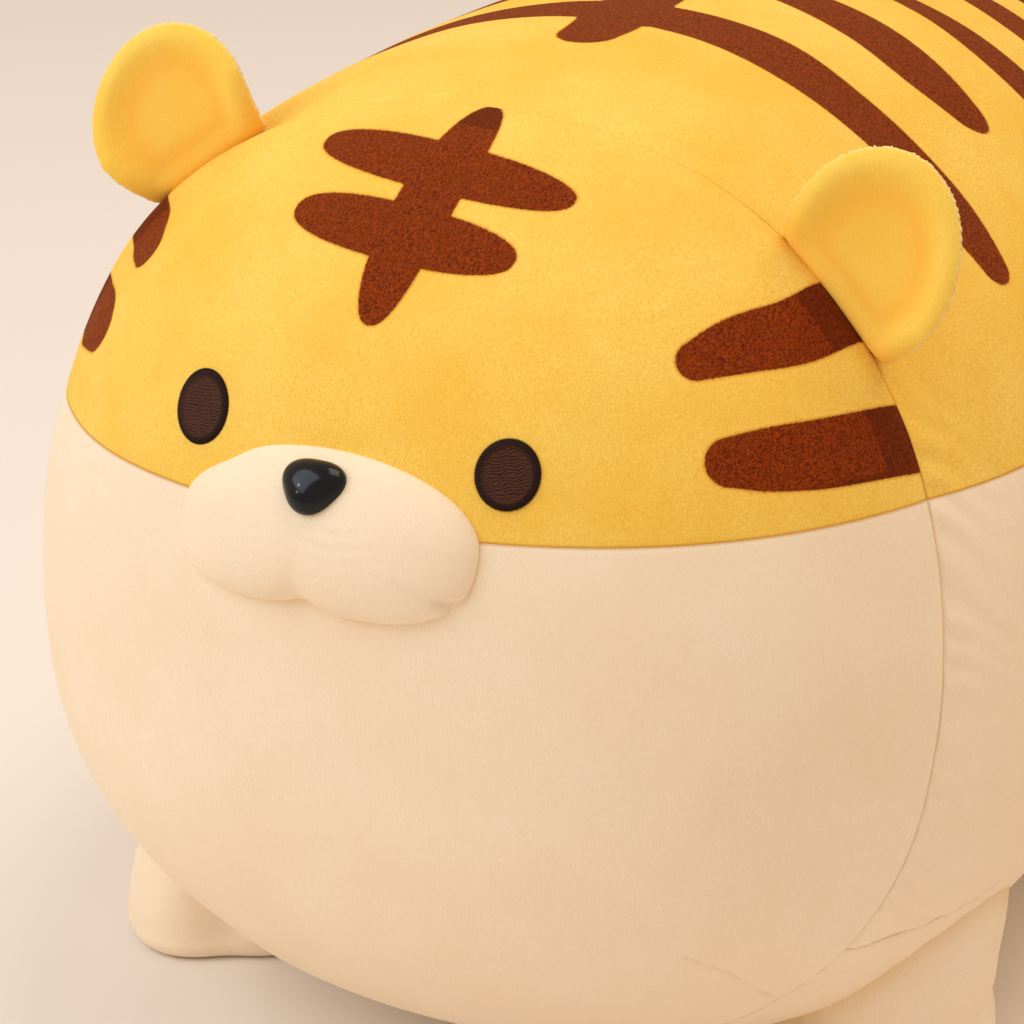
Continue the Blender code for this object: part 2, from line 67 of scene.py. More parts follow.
def body_sides(offset, inset=0.0):
    """The body's rise or drop, its reach and its lengthwise power on each offset's side of the middle."""
    rise = np.where(offset[..., 2] > 0, RISE, DROP) - inset
    reach = np.where(offset[..., 1] > 0, BACK, FRONT) - inset
    power = np.where(offset[..., 1] > 0, REAR_POWER, FRONT_POWER)
    return rise, reach, power


def body_measure(points, inset=0.0):
    """Is 1 on the body's skin, and less inside it."""
    offset = points - CENTRE
    rise, reach, power = body_sides(offset, inset)
    across = np.abs(offset[..., 0]) / (HALF_WIDTH - inset)
    upright = np.abs(offset[..., 2]) / rise
    girth = (across ** GIRTH_POWER + upright ** GIRTH_POWER) ** (1 / GIRTH_POWER)
    return (girth ** power + (np.abs(offset[..., 1]) / reach) ** power) ** (1 / power)


def skin_along(starts, ways, inset=0.0):
    """Where lines that start inside the body come out through its skin."""
    starts = np.broadcast_to(starts, np.broadcast_shapes(np.shape(starts), np.shape(ways)))
    near = np.zeros(starts.shape[:-1])
    far = np.full(starts.shape[:-1], 0.7)
    for _ in range(36):
        middle = (near + far) / 2
        inside = body_measure(starts + ways * middle[..., None], inset) < 1
        near = np.where(inside, middle, near)
        far = np.where(inside, far, middle)
    return starts + ways * near[..., None]


def unit(vectors):
    return vectors / np.linalg.norm(vectors, axis=-1, keepdims=True)


def outward(points):
    """The outward directions of the body's skin."""
    offset = points - CENTRE
    rise, reach, power = body_sides(offset)
    across = np.abs(offset[..., 0]) / HALF_WIDTH
    upright = np.abs(offset[..., 2]) / rise
    girth = (across ** GIRTH_POWER + upright ** GIRTH_POWER) ** (1 / GIRTH_POWER)
    steep = np.maximum(girth, 1e-9) ** (power - GIRTH_POWER)
    slopes = np.stack((
        steep * across ** (GIRTH_POWER - 1) / HALF_WIDTH,
        (np.abs(offset[..., 1]) / reach) ** (power - 1) / reach,
        steep * upright ** (GIRTH_POWER - 1) / rise,
    ), axis=-1)
    return unit(slopes * np.where(offset < 0, -1, 1))


def grid_faces(rows, columns, ring):
    """The four-cornered faces of a grid of points, with the last column joined to the first for a ring."""
    faces = []
    for row in range(rows - 1):
        for column in range(columns if ring else columns - 1):
            beside = (column + 1) % columns
            here = row * columns
            faces.append((here + column, here + beside, here + columns + beside, here + columns + column))
    return faces


def sewn_piece(name, points, ring=True, **values):
    """A smooth-shaded mesh over a grid of points, with its named values kept at the points."""
    mesh = bpy.data.meshes.new(name)
    faces = grid_faces(*points.shape[:2], ring)
    mesh.from_pydata([tuple(point) for point in points.reshape(-1, 3)], [], faces)
    for label, value in values.items():
        value = np.broadcast_to(value, points.shape[:-1]).astype("f").ravel()
        mesh.attributes.new(label, "FLOAT", "POINT").data.foreach_set("value", value)
    bm = bmesh.new()
    bm.from_mesh(mesh)
    bmesh.ops.remove_doubles(bm, verts=bm.verts, dist=2e-6)
    bm.normal_update()
    bmesh.ops.recalc_face_normals(bm, faces=bm.faces)
    bm.to_mesh(mesh)
    bm.free()
    mesh.update()
    mesh.shade_smooth()
    piece = bpy.data.objects.new(name, mesh)
    bpy.context.scene.collection.objects.link(piece)
    return piece


def full_turn(count):
    """Angles once round, one for each of a grid's columns."""
    return np.linspace(0, 2 * math.pi, count, endpoint=False)[None, :]


def half_turn(count):
    """Angles from one pole to the other, one for each of a grid's rows."""
    return np.linspace(0, math.pi, count)[:, None]


# The rows run from the pole at the face to the pole at the rump.
tilt = half_turn(120)
turn = full_turn(160)
ways = np.stack((
    np.sin(tilt) * np.cos(turn),
    -np.cos(tilt) * np.ones_like(turn),
    np.sin(tilt) * np.sin(turn),
), axis=-1)
filling_points = skin_along(CENTRE, ways, CLOTH_DEPTH)
filling_points[..., 2] = np.maximum(filling_points[..., 2], FILLING_FLOOR)
body_filling = sewn_piece("body_filling", filling_points)


def linear(hex_colour):
    """An sRGB hex colour as the linear colour that the shader works in."""
    shares = [int(hex_colour[i:i + 2], 16) / 255 for i in (1, 3, 5)]
    return (*[s / 12.92 if s <= 0.04045 else ((s + 0.055) / 1.055) ** 2.4 for s in shares], 1)


def fill_sockets(tree, node, sockets):
    """Sets a shader node's sockets, or links them to others."""
    for name, value in dict(sockets).items():
        if isinstance(value, bpy.types.NodeSocket):
            tree.links.new(value, node.inputs[name])
        else:
            node.inputs[name].default_value = value


def add_node(tree, kind, sockets=(), **settings):
    """Adds a shader node, sets its properties and fills its sockets."""
    node = tree.nodes.new("ShaderNode" + kind)
    for name, value in settings.items():
        setattr(node, name, value)
    fill_sockets(tree, node, sockets)
    return node


def new_material(name):
    """A new material, with its node tree and its Principled shader."""
    material = bpy.data.materials.new(name)
    material.use_nodes = True
    return material, material.node_tree, material.node_tree.nodes["Principled BSDF"]


# Polyester fibrefill: matt white crimped fibres about 0.1 mm thick, drawn as 2 mm tufts so that they show.
fibrefill, tree, shader = new_material("polyester_fibrefill")
place = add_node(tree, "TexCoord")
tufts = add_node(tree, "TexNoise", {"Vector": place.outputs["Object"], "Scale": 500, "Detail": 4})
tone = add_node(tree, "MixRGB", {
    "Fac": tufts.outputs["Fac"], "Color1": linear("#D9D8D4"), "Color2": linear("#F2F1EE")})
puffs = add_node(tree, "Bump", {"Height": tufts.outputs["Fac"], "Strength": 0.6, "Distance": 0.001})
fill_sockets(tree, shader, {
    "Base Color": tone.outputs["Color"], "Normal": puffs.outputs["Normal"], "Roughness": 1.0,
    "Sheen Weight": 0.2})
body_filling.data.materials.append(fibrefill)
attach(body_filling, "body")
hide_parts("body_stuffing")


# The body's skin: eight pieces of short-pile knitted plush, sewn edge to edge. A seam runs round behind
# the face, another round before the rump, yellow meets cream along a level seam, and a second level seam
# joins the sides to the belly above the legs.
FACE_SEAM_AT = -0.107
FACE_SEAM_LEAN = math.tan(math.radians(11.15))
RUMP_SEAM_AT = 0.232
RUMP_SEAM_LEAN = -math.tan(math.radians(6.8))
COLOUR_LINE = 0.085
COLOUR_DIP = 0.007
BELLY_LINE = -0.061
RESTING_DEPTH = 0.004


def waves(points, length, seed):
    """Smooth waves of about the given length, the same each time, mostly between -1 and 1."""
    dice = np.random.default_rng(seed)
    total = np.zeros(points.shape[:-1])
    for _ in range(14):
        way = unit(dice.normal(size=3))
        steps = points @ way * (2 * math.pi / (length * dice.uniform(0.8, 1.3)))
        total += np.sin(steps + dice.uniform(0, 2 * math.pi))
    return total / 3.2


def from_plane(points, normals, at, normal):
    """How far along the skin a point is from the seam that a plane cuts."""
    normal = unit(np.array(normal, float))
    slant = np.sqrt(np.maximum(1 - (normals @ normal) ** 2, 0.04))
    return (points - at) @ normal / slant


def colour_dip(points):
    """How far the colour seam hangs below its level along the flanks, from the face seam to the rump's."""
    first = FACE_SEAM_AT + FACE_SEAM_LEAN * COLOUR_LINE
    last = RUMP_SEAM_AT + RUMP_SEAM_LEAN * COLOUR_LINE
    share = np.clip((points[..., 1] - CENTRE[1] - first) / (last - first), 0, 1)
    return COLOUR_DIP * np.sin(math.pi * share)


def seam_distances(points, normals):
    """Distances behind the face seam and the rump seam, and above the colour seam and the belly seam."""
    face = from_plane(points, normals, CENTRE + (0, FACE_SEAM_AT, 0), (0, 1, -FACE_SEAM_LEAN))
    rump = from_plane(points, normals, CENTRE + (0, RUMP_SEAM_AT, 0), (0, 1, -RUMP_SEAM_LEAN))
    lifted = points + colour_dip(points)[..., None] * (0, 0, 1)
    colour = from_plane(lifted, normals, CENTRE + (0, 0, COLOUR_LINE), (0, 0, 1))
    belly = from_plane(points, normals, CENTRE + (0, 0, BELLY_LINE), (0, 0, 1))
    return face, rump, colour, np.where((face > -1e-6) & (rump < 1e-6), belly, 1.0)


def run_distance(points, path, widths):
    """How far each point is outside a run of points with a half width at each, in metres."""
    flat = points.reshape(-1, 3)
    nearest = np.full(len(flat), 1.0)
    for start, end, wide, narrow in zip(path, path[1:], widths, widths[1:]):
        run = end - start
        share = np.clip((flat - start) @ run / (run @ run), 0, 1)
        gap = np.linalg.norm(flat - start - share[:, None] * run, axis=1)
        nearest = np.minimum(nearest, gap - wide - share * (narrow - wide))
    return nearest.reshape(points.shape[:-1])


# A dart's short seam runs over the lower face to each front leg. These are the left one's places.
DART = np.array(((0.1060, -0.1557, 0.0968), (0.1160, -0.1457, 0.0873), (0.1241, -0.1242, 0.0656)))


def dart_distance(points):
    """How far points are from the nearer of the two darts."""
    steps = np.linspace(0, 1, 7)[:, None]
    ends = np.vstack([DART[i] + (DART[i + 1] - DART[i]) * steps[:-1] for i in (0, 1)] + [DART[2:]])
    path = skin_along(CENTRE, unit(ends - CENTRE))
    left = points * np.where(points[..., :1] < 0, (-1, 1, 1), 1)
    return run_distance(left, path, np.zeros(len(path)))


def relief(points, normals):
    """How far the stuffed cloth stands out from the plain body: seams pull in, the rest swells."""
    face, rump, colour, belly = seam_distances(points, normals)
    height = waves(points, 0.12, 3) * 0.0005 + waves(points, 0.045, 5) * 0.00012
    tight = (waves(points, 0.05, 9) * 0.4 + 0.7).clip(0.2, 1.2)
    # The face seam lies flat over the crown, where it hardly shows, and pulls in on the flanks.
    flank = np.clip(1.25 - 1.3 * normals[..., 2] ** 2, 0.08, 1)
    grooves = ((face, 0.0005 * flank), (rump, 0.0006), (colour, 0.0002), (belly, 0.0008),
               (dart_distance(points), 0.0005))
    for distance, depth in grooves:
        away = np.abs(distance)
        height -= depth * tight * np.exp(-(away / 0.0010) ** 2)
        height -= depth * 0.6 * np.exp(-away / 0.007)
    # The back and side cloths are sewn in behind the face's turned edge, which stands proud on the flanks
    # and swells in front of the ears' roots.
    behind = np.where(face > 1e-6, np.exp(-face / 0.006), 0)
    height -= 0.0011 * flank * tight * behind
    around = np.degrees(np.arctan2(np.abs(points[..., 0]), points[..., 2] - CENTRE[2]))
    before = np.where(face < 1e-6, np.exp(-((face + 0.006) / 0.006) ** 2), 0)
    height += 0.0026 * before * np.exp(-((around - 36) / 17) ** 2)
    # Slanting puckers, about 10 mm apart, fade out within 25 mm of a seam that eases one edge in.
    puckers = np.sin(points @ np.array((150, 330, 480)) + 2.2 * waves(points, 0.04, 21))
    eased = np.where(face > 0, np.exp(-face / 0.013), 0)
    eased = eased + np.where(belly > 0, 0.3 * np.exp(-belly / 0.010), 0)
    height += 0.0007 * puckers * eased * (1 - np.exp(-(np.abs(face) / 0.002) ** 2)) * flank
    return height


def on_body(points):
    """Moves points of the plain body onto the stuffed cloth, flat where it rests on the floor."""
    normals = outward(points)
    moved = points + normals * relief(points, normals)[..., None]
    height = moved[..., 2]
    pressed = RESTING_DEPTH * np.exp(np.minimum(height / RESTING_DEPTH - 1, 0)) * 0.9 + 0.0004
    moved[..., 2] = np.where(height < RESTING_DEPTH, pressed, height)
    return moved


def near_edges(count, crowding=0.72):
    """Steps from 0 to 1 that are finer near both ends, where the seams are."""
    even = np.linspace(0, 1, count)
    return even - crowding * np.sin(2 * math.pi * even) / (2 * math.pi)


def hoop_points(share, turn):
    """Points of the skin from the face seam, share 0, to the rump seam, share 1, at a turn from the top."""
    at = FACE_SEAM_AT + share * (RUMP_SEAM_AT - FACE_SEAM_AT)
    lean = FACE_SEAM_LEAN + share * (RUMP_SEAM_LEAN - FACE_SEAM_LEAN)
    ways = unit(np.stack((np.sin(turn), lean * np.cos(turn), np.cos(turn)), axis=-1))
    starts = CENTRE + np.stack((at * 0, at, at * 0), axis=-1)
    return skin_along(starts, ways)


def turn_below(share, level, dip=0):
    """The turn at which a hoop passes a level on the tiger's left. With dip 1 it hangs as colour_dip says."""
    low, high = np.full_like(share, 0.1), np.full_like(share, math.pi - 0.05)
    for _ in range(30):
        middle = (low + high) / 2
        spots = hoop_points(share, middle)
        past = spots[..., 2] + dip * colour_dip(spots) < CENTRE[2] + level
        low, high = np.where(past, low, middle), np.where(past, middle, high)
    return (low + high) / 2


def hoop_panel(first_turn, last_turn, rows, columns):
    """A grid of points between two seams that run from the face seam to the rump seam."""
    share = near_edges(rows)
    first, last = first_turn(share), last_turn(share)
    turn = first[:, None] + (last - first)[:, None] * near_edges(columns)[None, :]
    return hoop_points(np.broadcast_to(share[:, None], turn.shape), turn)


def end_panel(at, lean, outwards, low, high, rows, columns):
    """A grid of points that fan out from where the end's seam crosses the colour seam."""
    start = CENTRE + (0, at + lean * COLOUR_LINE, COLOUR_LINE)
    rise = low + (high - low) * near_edges(rows)[:, None]
    turn = np.linspace(0, math.pi, columns)[None, :]
    ways = np.stack((
        np.cos(turn) * np.ones_like(rise),
        np.sin(turn) * np.cos(rise) * outwards,
        np.sin(turn) * np.sin(rise),
    ), axis=-1)
    return skin_along(start, ways)


def left_colour(share):
    return turn_below(share, COLOUR_LINE, 1)


def left_belly(share):
    return turn_below(share, BELLY_LINE)


# The angles, up from level, of the planes that the face seam and the rump seam lie in.
face_up = math.pi / 2 + math.atan(FACE_SEAM_LEAN)
rump_up = math.pi / 2 - math.atan(RUMP_SEAM_LEAN)
panel_grids = {
    "face_upper": end_panel(FACE_SEAM_AT, FACE_SEAM_LEAN, -1, 0, face_up, 150, 340),
    "face_lower": end_panel(FACE_SEAM_AT, FACE_SEAM_LEAN, -1, face_up - math.pi, 0, 180, 320),
    "rump_upper": end_panel(RUMP_SEAM_AT, RUMP_SEAM_LEAN, 1, 0, rump_up, 90, 220),
    "rump_lower": end_panel(RUMP_SEAM_AT, RUMP_SEAM_LEAN, 1, rump_up - math.pi, 0, 100, 200),
    "back": hoop_panel(lambda s: -left_colour(s), left_colour, 200, 280),
    "side_left": hoop_panel(left_colour, left_belly, 190, 110),
    "side_right": hoop_panel(lambda s: -left_belly(s), lambda s: -left_colour(s), 190, 110),
    "belly": hoop_panel(left_belly, lambda s: 2 * math.pi - left_belly(s), 120, 190),
}

# The forehead's print: three crossed bars. Each is its middle across and above the mark's origin, its
# half length and half thickness, all in mm, its turn in degrees, the power of its outline, and how far
# its ends bow up, in mm.
MARK_ORIGIN = np.array((0, -0.1163, 0.3106))
MARK_UP = np.array((0, 0.834, 0.551))
MARK_BARS = [
    (-0.6, 20.5, 48.4, 10.2, -8.2, 2.4, 2.0),
    (-2.9, -7.0, 41.9, 10.4, -7.4, 2.4, 1.8),
    (1.7, 5.0, 45.0, 10.7, 88, 2.3, 0),
]
# The other stripes, each a run of places with the half width there. A place is the angle from the crown
# in degrees, the distance behind the widest section in mm, and the half width in mm.
FACE_STRIPES = [
    [(36.6, -122.2, 6.2), (38.5, -111, 9.1), (41.1, -97, 10.4), (42.8, -80, 10.6), (44.2, -66, 10.6)],
    [(46.9, -132.8, 7.4), (49.5, -124, 9.6), (52.5, -110, 10.5), (55.7, -88, 10.6), (57.3, -74, 10.5)],
    [(-39.6, -104.5, 7.5), (-40.7, -94, 10), (-42.2, -77, 10)],
    [(-48, -120.5, 8), (-49, -114, 10.8), (-52, -101, 11.8), (-55, -79, 11.5)],
]
SIDE_STRIPES = [
    [(-2, 86.5, 8.5), (8, 81, 10), (15, 74, 11.5), (22, 66, 12.4), (29, 57, 12.2), (34.6, 52, 8.6),
     (36.2, 51, 6)],
    [(9, 132, 4.5), (16, 124, 6), (23, 116.5, 8), (31, 109, 10), (38, 103, 10), (44, 98, 7.5)],
    [(0, 178, 7), (10, 174, 7.5), (20, 168, 9), (30, 160, 11), (38, 153, 10.5), (45, 148, 7.5)],
    [(12, 222, 5), (22, 213, 8.5), (32, 205, 10.5), (40, 198, 8)],
    [(0, 262, 8), (12, 258, 9), (24, 249, 11), (35, 240, 10.5), (44, 233, 7)],
    [(14, 301, 5.5), (24, 293, 9), (34, 285, 10), (42, 278, 7)],
]
# The first stripe behind the crown runs down both flanks, with a lobe along the spine.
SPINE_STRIPES = [
    [(0, 25, 13), (8, 22, 13), (17, 16, 13), (26, 7, 12.2), (34, 0.3, 12), (41, -5.6, 12), (48, -9.8, 7.6)],
    [(0, 25, 13), (-8, 23.5, 11.5), (-17, 18, 11), (-26, 9, 11), (-34, 3, 11), (-41, -3, 10), (-48, -8, 7)],
    [(1.0, -7, 10.5), (0.9, 6, 12), (0.3, 22, 13), (-0.3, 45, 13), (-0.3, 63, 11)],
]


def bar_distance(points, bar):
    """How far each point is outside a bar of the forehead's print, in mm, and below 0 inside it."""
    across, up, half_length, half_width, turn, power, bow = bar
    x = points[..., 0] * 1000 - across
    y = (points - MARK_ORIGIN) @ MARK_UP * 1000 - up
    turn = math.radians(turn)
    along = np.abs(x * math.cos(turn) + y * math.sin(turn)) / half_length + 1e-6
    aside = y * math.cos(turn) - x * math.sin(turn) - bow * (along ** 2 - 0.45)
    aside = np.abs(aside) / half_width + 1e-6
    reach = (along ** power + aside ** power) ** (1 / power)
    slope = np.hypot(along ** (power - 1) / half_length, aside ** (power - 1) / half_width)
    return (reach - 1) * reach ** (power - 1) / slope


def stripe_path(places):
    """A smooth run of points on the skin through a stripe's places, and its half widths, in metres."""
    knots = np.array(places, float)
    knots = np.vstack((2 * knots[0] - knots[1], knots, 2 * knots[-1] - knots[-2]))
    steps = np.linspace(0, 1, 8, endpoint=False)[:, None]
    run = []
    for a, b, c, d in zip(knots, knots[1:], knots[2:], knots[3:]):
        run.append(0.5 * (2 * b + (c - a) * steps + (2 * a - 5 * b + 4 * c - d) * steps ** 2
                          + (3 * b - a - 3 * c + d) * steps ** 3))
    run = np.vstack((*run, knots[-2:-1]))
    angle = np.radians(run[:, 0])
    ways = np.stack((np.sin(angle), angle * 0, np.cos(angle)), axis=-1)
    starts = CENTRE + np.stack((angle * 0, run[:, 1] / 1000, angle * 0), axis=-1)
    return skin_along(starts, ways), run[:, 2] / 1000


def stripe_distance(points, stripes, bars=()):
    """How far each point is outside the nearest stripe, in mm, and below 0 inside one."""
    gaps = [run_distance(points, *stripe_path(places)) * 1000 for places in stripes]
    return np.min(gaps + [bar_distance(points, bar) for bar in bars], axis=0)


def mirrored(stripes):
    """Stripes of the left flank, and the same ones on the right."""
    return stripes + [[(-angle, at, wide) for angle, at, wide in places] for places in stripes]


SEAM_TURN_IN = 0.0035


def tucked(grid):
    """Turns a grid's outer edges inwards, as a seam does, so that no gap shows between two pieces."""
    rim = np.pad(grid, ((1, 1), (1, 1), (0, 0)), mode="edge")
    points = np.pad(on_body(grid), ((1, 1), (1, 1), (0, 0)), mode="edge")
    depth = np.zeros(rim.shape[:2])
    depth[[0, -1]] = SEAM_TURN_IN
    depth[:, [0, -1]] = SEAM_TURN_IN
    return points - outward(rim) * depth[..., None]


def cloth_panel(name, grid, stripes=(), bars=()):
    """A piece of the skin, with its distance to the nearest seam and stripe kept for its material."""
    normals = outward(grid)
    face, rump, colour, belly = np.abs(seam_distances(grid, normals))
    # Over the crown the face seam's thread is buried in the pile.
    face = face + 0.0009 * np.clip(normals[..., 2] * 6 - 4.8, 0, 1)
    dart = dart_distance(grid) * 0.3 + 0.00052
    seams = np.min([face, rump, colour, belly + 0.0003, dart], axis=0)
    values = {"seam_mm": np.pad(seams * 1000, 1, mode="edge")}
    if stripes:
        values["stripe_mm"] = np.pad(stripe_distance(grid, stripes, bars), 1, mode="edge")
    points = tucked(grid)
    piece = sewn_piece(name, points, ring=False, **values)
    some = list(piece.data.polygons)[::97]
    if sum(facet.normal.dot(facet.center - Vector(CENTRE)) for facet in some) < 0:
        piece.data.flip_normals()
    return piece


def plush(name, light, middle, deep, seam_line_and_shade_tint, hollow_tint, grain, lie, stripes=False):
    """Short-pile polyester plush, knitted and brushed: a soft 2 mm pile in swirls, with a pale bloom.

    Its grain is how strongly the gaps between tufts show, and its lie is how tufts stretch in X, Y and Z.
    """
    material, tree, shader = new_material(name)
    place = add_node(tree, "TexCoord").outputs["Object"]
    # The pile is brushed in swirls about 25 mm across, which the fine noise follows.
    swirl = add_node(tree, "TexNoise", {"Vector": place, "Scale": 40, "Detail": 1})
    bent = add_node(tree, "VectorMath", {0: swirl.outputs["Color"], "Scale": 0.012}, operation="SCALE")
    brushed = add_node(tree, "VectorMath", {0: place, 1: bent.outputs[0]}, operation="ADD")
    # Tufts are about 0.5 mm across and 1.5 mm long, and their shaded gaps show as a fine grain.
    laid = add_node(tree, "VectorMath", {0: brushed.outputs[0], 1: lie}, operation="MULTIPLY")
    pile = add_node(tree, "TexNoise", {
        "Vector": laid.outputs[0], "Scale": 1900, "Detail": 3, "Roughness": 0.65, "Distortion": 0.6})
    patches = add_node(tree, "TexNoise", {"Vector": place, "Scale": 22, "Detail": 3, "Roughness": 0.55})
    specks = add_node(tree, "MapRange", {"Value": pile.outputs["Fac"], "From Min": 0.36, "From Max": 0.64})
    broad = add_node(tree, "MapRange", {
        "Value": patches.outputs["Fac"], "From Min": 0.35, "From Max": 0.65})
    ground = add_node(tree, "MixRGB", {
        "Fac": broad.outputs[0], "Color1": linear(middle), "Color2": linear(light)})
    # The knit's upright ribs, 1.6 mm apart, just show through the pile.
    across = add_node(tree, "VectorMath", {0: place, 1: (3927, 3927, 0)}, operation="DOT_PRODUCT")
    ribs = add_node(tree, "Math", {0: across.outputs["Value"]}, operation="SINE")
    worn = add_node(tree, "Math", {
        0: ribs.outputs[0], 1: 0.08, 2: specks.outputs[0]}, operation="MULTIPLY_ADD")
    shade = add_node(tree, "Math", {0: worn.outputs[0], 1: -grain, 2: grain}, operation="MULTIPLY_ADD")
    colour = add_node(tree, "MixRGB", {
        "Fac": shade.outputs[0], "Color1": ground.outputs["Color"], "Color2": linear(deep)})
    # Painted shade: inside a hollow, such as an ear's cup, and in a crease, the colour turns to a deeper
    # tint.
    hollow = add_node(tree, "Attribute", attribute_name="hollow")
    colour = add_node(tree, "MixRGB", {
        "Fac": hollow.outputs["Fac"], "Color1": colour.outputs["Color"], "Color2": linear(hollow_tint)})
    # Near a seam the cloth takes the seam tint: on the body the seam's own line with painted shade in its
    # groove, a painted shadow round the muzzle's rim, painted shade in the crease over each leg, and a paler
    # line along the ears' rims.
    seam = add_node(tree, "Attribute", attribute_name="seam_mm")
    seam_line_and_shade = add_node(tree, "MapRange", {
        "Value": seam.outputs["Fac"], "From Min": 0.1, "From Max": 1.0, "To Min": 0.75, "To Max": 0,
    }, interpolation_type="SMOOTHSTEP")
    colour = add_node(tree, "MixRGB", {
        "Fac": seam_line_and_shade.outputs[0], "Color1": colour.outputs["Color"], "Color2": linear(seam_line_and_shade_tint)})
    if stripes:
        # The print's edge wanders by a fibre or two, inside an orange halo where the ink has bled.
        stripe = add_node(tree, "Attribute", attribute_name="stripe_mm")
        fuzz = add_node(tree, "Math", {
            0: pile.outputs["Fac"], 1: 0.8, 2: stripe.outputs["Fac"]}, operation="MULTIPLY_ADD")
        halo = add_node(tree, "MapRange", {
            "Value": fuzz.outputs[0], "From Min": 0.5, "From Max": 1.5, "To Min": 0.6, "To Max": 0,
        }, interpolation_type="SMOOTHSTEP")
        inked = add_node(tree, "MapRange", {
            "Value": fuzz.outputs[0], "From Min": 0.1, "From Max": 0.7, "To Min": 1, "To Max": 0,
        }, interpolation_type="SMOOTHSTEP")
        brown = add_node(tree, "MixRGB", {
            "Fac": specks.outputs[0], "Color1": linear("#541900"), "Color2": linear("#9E3E07")})
        # Where the pile is pressed down, within 12 mm of a seam, the brown is darker.
        pressed = add_node(tree, "MapRange", {
            "Value": seam.outputs["Fac"], "From Min": 11.5, "From Max": 12.5, "To Min": 0.55, "To Max": 0,
        }, interpolation_type="SMOOTHSTEP")
        brown = add_node(tree, "MixRGB", {
            "Fac": pressed.outputs[0], "Color1": brown.outputs["Color"], "Color2": linear("#521A03")})
        colour = add_node(tree, "MixRGB", {
            "Fac": halo.outputs[0], "Color1": colour.outputs["Color"], "Color2": linear("#D98A1C")})
        colour = add_node(tree, "MixRGB", {
            "Fac": inked.outputs[0], "Color1": colour.outputs["Color"], "Color2": brown.outputs["Color"]})
    tufts = add_node(tree, "Bump", {
        "Height": pile.outputs["Fac"], "Strength": grain * 0.8, "Distance": 0.0008})
    fill_sockets(tree, shader, {
        "Base Color": colour.outputs["Color"], "Normal": tufts.outputs["Normal"], "Roughness": 0.95,
        "Specular IOR Level": 0.15, "Sheen Weight": 0.06, "Sheen Roughness": 0.5,
        "Sheen Tint": linear(light)})
    return material


striped_plush = plush("printed_minky_plush_striped", "#FFDC6D", "#FCCE54", "#ECAA32", "#D08A20",
                      "#F0A63A", 0.55, (1, 0.4, 0.7), stripes=True)
plain_plush = plush("minky_plush_yellow", "#FFDE6A", "#FFD455", "#F3B234", "#FFE8AE",
                    "#FFB23A", 0.36, (1, 0.4, 0.7))
cream_plush = plush("minky_plush_cream", "#FAE8CC", "#F8E3C3", "#E4C59A", "#D9B27E",
                    "#DDB468", 0.24, (1, 1, 0.4))

for name, grid in panel_grids.items():
    yellow = name in ("face_upper", "back", "rump_upper")
    if name == "face_upper":
        panel = cloth_panel("face_upper_cloth", grid, FACE_STRIPES, MARK_BARS)
    elif yellow:
        panel = cloth_panel(name + "_cloth", grid, mirrored(SIDE_STRIPES) + SPINE_STRIPES)
    else:
        panel = cloth_panel(name + "_cloth", grid)
    panel.data.materials.append(striped_plush if yellow else cream_plush)
    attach(panel, "body")
    node = {"side_left": "side_panel_left", "side_right": "side_panel_right"}.get(name, name + "_panel")
    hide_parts(node)


# The muzzle: a small pillow of cream plush, two lobes with a notch below, stuffed and sewn to the face.
MUZZLE_ACROSS = -0.0011
MUZZLE_HEIGHT = CENTRE[2] + 0.0812
MUZZLE_HALF_WIDTH = 0.0523
MUZZLE_HALF_HEIGHT = 0.0238
MUZZLE_HALF_DROP = 0.0231
MUZZLE_PROUD = 0.012
MUZZLE_PUCKER = math.radians(-17.6)


def face_spot(across, height):
    """The face's plain skin at these distances across and above the floor, and its outward way."""
    across, height = np.broadcast_arrays(across, height)
    starts = np.stack((across, across * 0, height), axis=-1)
    spots = skin_along(starts, np.array((0.0, -1.0, 0.0)))
    return spots, outward(spots)


def turned_from(turn, middle, width):
    """A soft peak of 1 where a turn passes its middle."""
    away = np.mod(turn - middle + math.pi, 2 * math.pi) - math.pi
    return np.exp(-(away / width) ** 2)


def muzzle_edge(turn):
    """How far the muzzle's outline is from its middle, at a turn from the tiger's left."""
    power = np.where(np.sin(turn) > 0, 2.0, 4.0)
    wide = np.abs(np.cos(turn)) / MUZZLE_HALF_WIDTH
    high = np.abs(np.sin(turn)) / np.where(np.sin(turn) > 0, MUZZLE_HALF_HEIGHT, MUZZLE_HALF_DROP)
    notch = 1 - 0.145 * turned_from(turn, math.radians(-98), math.radians(21))
    pucker = 1 - 0.05 * turned_from(turn, MUZZLE_PUCKER, math.radians(2))
    drawn_in = 1 - 0.05 * turned_from(turn, math.radians(-22), math.radians(13))
    drawn_in = drawn_in - 0.055 * turned_from(turn, math.radians(158), math.radians(12))
    return (wide ** power + high ** power) ** (-1 / power) * notch * pucker * drawn_in


def muzzle_skin(across, above):
    """Points of the muzzle's outer cloth, this far across and above its middle."""
    turn = np.arctan2(above, across)
    out = np.minimum(1, np.hypot(across, above) / muzzle_edge(turn))
    fullness = 1 - 0.18 * above / MUZZLE_HALF_HEIGHT
    height = MUZZLE_PROUD * fullness * np.sqrt(1 - out ** 2)
    # A soft valley runs down to the notch, and the seam's gather pinches the side.
    below = np.clip(-above / MUZZLE_HALF_HEIGHT - 0.1, 0, 1)
    height = height - 0.0004 * below * np.exp(-((across + 0.0018) / 0.0075) ** 2)
    pinch = turned_from(turn, MUZZLE_PUCKER, math.radians(2.2)) * np.clip(out * 11 - 10, 0, 1)
    height = height * (1 - 0.55 * pinch)
    # Fine level wrinkles, about 4 mm apart, spread from under the nose.
    wrinkles = np.sin(above * 1500 + 2 * np.sin(across * 160)) * np.exp(-((across - 0.004) / 0.020) ** 2)
    height = height + 0.00012 * wrinkles * np.exp(-((above + 0.001) / 0.006) ** 2)
    spot, way = face_spot(MUZZLE_ACROSS + across, MUZZLE_HEIGHT + above)
    return spot + way * (height - 0.0004)[..., None]


